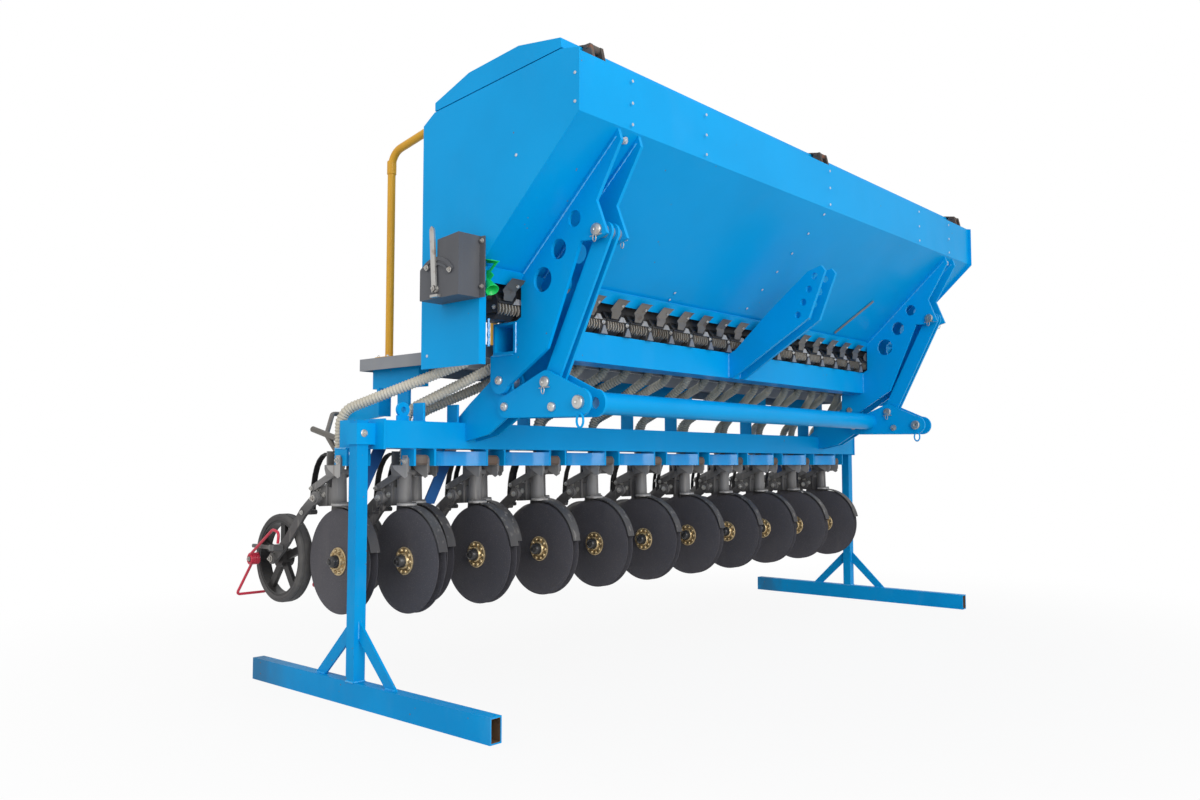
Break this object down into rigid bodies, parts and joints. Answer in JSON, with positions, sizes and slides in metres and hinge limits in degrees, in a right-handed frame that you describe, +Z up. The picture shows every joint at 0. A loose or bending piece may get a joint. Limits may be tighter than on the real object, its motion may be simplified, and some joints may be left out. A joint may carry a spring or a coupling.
{
  "type": "seed drill",
  "caption": "Built-up seed drill with a hopper, metering units, hoses, double-disc coulters and press wheels, standing on T-shaped parking stands.",
  "frame": {"origin": "on the floor, under the middle of the whole machine", "axes": "+Z up, +X across the machine to its right end seen from the coupling side, -Y to the coupling side"},
  "size_m": [3.162, 1.49, 1.921],
  "materials": {
    "blue_paint": "gloss paint",
    "black_paint": "satin paint",
    "zinc": "zinc plated",
    "cast_grey": "satin",
    "tyre_rubber": "matte",
    "black_plastic": "moulded",
    "red_paint": "gloss",
    "hose_plastic": "corrugated",
    "grey_paint": "satin paint",
    "yellow_paint": "gloss paint",
    "dark_paint": "satin paint",
    "disc_steel": "dark",
    "green_plastic": "moulded"
  },
  "bodies": {
    "frame": {"bowed_plates": "blue_paint", "calibration_flap": "green_plastic", "coulter_lugs": "blue_paint", "coupling_arms": "blue_paint", "coupling_pins": "zinc", "covering_tines": "red_paint", "crank": "cast_grey", "cross_tube": "blue_paint", "deck": "grey_paint", "deck_supports": "blue_paint", "drive_cover": "dark_paint", "drive_lever": "zinc", "front_coulters": "cast_grey", "front_rail": "blue_paint", "handrails": "yellow_paint", "headstock_beam": "blue_paint", "hinge_brackets": "black_paint", "hopper_ends": "blue_paint", "hopper_shell": "blue_paint", "links": "blue_paint", "metering_units": "black_plastic", "rail_brackets": "blue_paint", "rail_ties": "blue_paint", "rear_coulters": "cast_grey", "rear_rail": "blue_paint", "seed_hoses": "hose_plastic", "side_brackets": "blue_paint", "spring_straps": "black_paint", "stand_sockets": "blue_paint", "stands": "blue_paint", "top_link_bracket": "blue_paint", "unit_levers": "zinc"},
    "lid": {"lid": "blue_paint", "lid_straps": "black_paint"},
    "press_wheels_front": {"front_tyres": "tyre_rubber", "front_rims": "black_plastic"},
    "press_wheels_rear": {"rear_tyres": "tyre_rubber", "rear_rims": "black_plastic"},
    "disc_pair_01": {"disc_pair_01": "disc_steel"},
    "disc_pair_02": {"disc_pair_02": "disc_steel"},
    "disc_pair_03": {"disc_pair_03": "disc_steel"},
    "disc_pair_04": {"disc_pair_04": "disc_steel"},
    "disc_pair_05": {"disc_pair_05": "disc_steel"},
    "disc_pair_06": {"disc_pair_06": "disc_steel"},
    "disc_pair_07": {"disc_pair_07": "disc_steel"},
    "disc_pair_08": {"disc_pair_08": "disc_steel"},
    "disc_pair_09": {"disc_pair_09": "disc_steel"},
    "disc_pair_10": {"disc_pair_10": "disc_steel"},
    "disc_pair_11": {"disc_pair_11": "disc_steel"},
    "disc_pair_12": {"disc_pair_12": "disc_steel"},
    "disc_pair_13": {"disc_pair_13": "disc_steel"},
    "disc_pair_14": {"disc_pair_14": "disc_steel"},
    "disc_pair_15": {"disc_pair_15": "disc_steel"},
    "disc_pair_16": {"disc_pair_16": "disc_steel"},
    "disc_pair_17": {"disc_pair_17": "disc_steel"},
    "disc_pair_18": {"disc_pair_18": "disc_steel"},
    "disc_pair_19": {"disc_pair_19": "disc_steel"},
    "disc_pair_20": {"disc_pair_20": "disc_steel"},
    "disc_pair_21": {"disc_pair_21": "disc_steel"}
  },
  "joints": [
    {"name": "lid_hinge", "type": "hinge", "parent": "frame", "child": "lid", "pos_m": [0, -0.704, 1.884], "axis": [1, 0, 0], "range_deg": [0, 95]},
    {"name": "press_wheels_front_turn", "type": "hinge", "parent": "frame", "child": "press_wheels_front", "pos_m": [0, 0.378, 0.4], "axis": [1, 0, 0], "continuous": true},
    {"name": "press_wheels_rear_turn", "type": "hinge", "parent": "frame", "child": "press_wheels_rear", "pos_m": [0, 0.518, 0.4], "axis": [1, 0, 0], "continuous": true},
    {"name": "disc_pair_01_turn", "type": "hinge", "parent": "frame", "child": "disc_pair_01", "pos_m": [-1.5, 0.17, 0.411], "axis": [1, 0, 0], "continuous": true},
    {"name": "disc_pair_02_turn", "type": "hinge", "parent": "frame", "child": "disc_pair_02", "pos_m": [-1.35, 0.03, 0.411], "axis": [1, 0, 0], "continuous": true},
    {"name": "disc_pair_03_turn", "type": "hinge", "parent": "frame", "child": "disc_pair_03", "pos_m": [-1.2, 0.17, 0.411], "axis": [1, 0, 0], "continuous": true},
    {"name": "disc_pair_04_turn", "type": "hinge", "parent": "frame", "child": "disc_pair_04", "pos_m": [-1.05, 0.03, 0.411], "axis": [1, 0, 0], "continuous": true},
    {"name": "disc_pair_05_turn", "type": "hinge", "parent": "frame", "child": "disc_pair_05", "pos_m": [-0.9, 0.17, 0.411], "axis": [1, 0, 0], "continuous": true},
    {"name": "disc_pair_06_turn", "type": "hinge", "parent": "frame", "child": "disc_pair_06", "pos_m": [-0.75, 0.03, 0.411], "axis": [1, 0, 0], "continuous": true},
    {"name": "disc_pair_07_turn", "type": "hinge", "parent": "frame", "child": "disc_pair_07", "pos_m": [-0.6, 0.17, 0.411], "axis": [1, 0, 0], "continuous": true},
    {"name": "disc_pair_08_turn", "type": "hinge", "parent": "frame", "child": "disc_pair_08", "pos_m": [-0.45, 0.03, 0.411], "axis": [1, 0, 0], "continuous": true},
    {"name": "disc_pair_09_turn", "type": "hinge", "parent": "frame", "child": "disc_pair_09", "pos_m": [-0.3, 0.17, 0.411], "axis": [1, 0, 0], "continuous": true},
    {"name": "disc_pair_10_turn", "type": "hinge", "parent": "frame", "child": "disc_pair_10", "pos_m": [-0.15, 0.03, 0.411], "axis": [1, 0, 0], "continuous": true},
    {"name": "disc_pair_11_turn", "type": "hinge", "parent": "frame", "child": "disc_pair_11", "pos_m": [0, 0.17, 0.411], "axis": [1, 0, 0], "continuous": true},
    {"name": "disc_pair_12_turn", "type": "hinge", "parent": "frame", "child": "disc_pair_12", "pos_m": [0.15, 0.03, 0.411], "axis": [1, 0, 0], "continuous": true},
    {"name": "disc_pair_13_turn", "type": "hinge", "parent": "frame", "child": "disc_pair_13", "pos_m": [0.3, 0.17, 0.411], "axis": [1, 0, 0], "continuous": true},
    {"name": "disc_pair_14_turn", "type": "hinge", "parent": "frame", "child": "disc_pair_14", "pos_m": [0.45, 0.03, 0.411], "axis": [1, 0, 0], "continuous": true},
    {"name": "disc_pair_15_turn", "type": "hinge", "parent": "frame", "child": "disc_pair_15", "pos_m": [0.6, 0.17, 0.411], "axis": [1, 0, 0], "continuous": true},
    {"name": "disc_pair_16_turn", "type": "hinge", "parent": "frame", "child": "disc_pair_16", "pos_m": [0.75, 0.03, 0.411], "axis": [1, 0, 0], "continuous": true},
    {"name": "disc_pair_17_turn", "type": "hinge", "parent": "frame", "child": "disc_pair_17", "pos_m": [0.9, 0.17, 0.411], "axis": [1, 0, 0], "continuous": true},
    {"name": "disc_pair_18_turn", "type": "hinge", "parent": "frame", "child": "disc_pair_18", "pos_m": [1.05, 0.03, 0.411], "axis": [1, 0, 0], "continuous": true},
    {"name": "disc_pair_19_turn", "type": "hinge", "parent": "frame", "child": "disc_pair_19", "pos_m": [1.2, 0.17, 0.411], "axis": [1, 0, 0], "continuous": true},
    {"name": "disc_pair_20_turn", "type": "hinge", "parent": "frame", "child": "disc_pair_20", "pos_m": [1.35, 0.03, 0.411], "axis": [1, 0, 0], "continuous": true},
    {"name": "disc_pair_21_turn", "type": "hinge", "parent": "frame", "child": "disc_pair_21", "pos_m": [1.5, 0.17, 0.411], "axis": [1, 0, 0], "continuous": true}
  ]
}
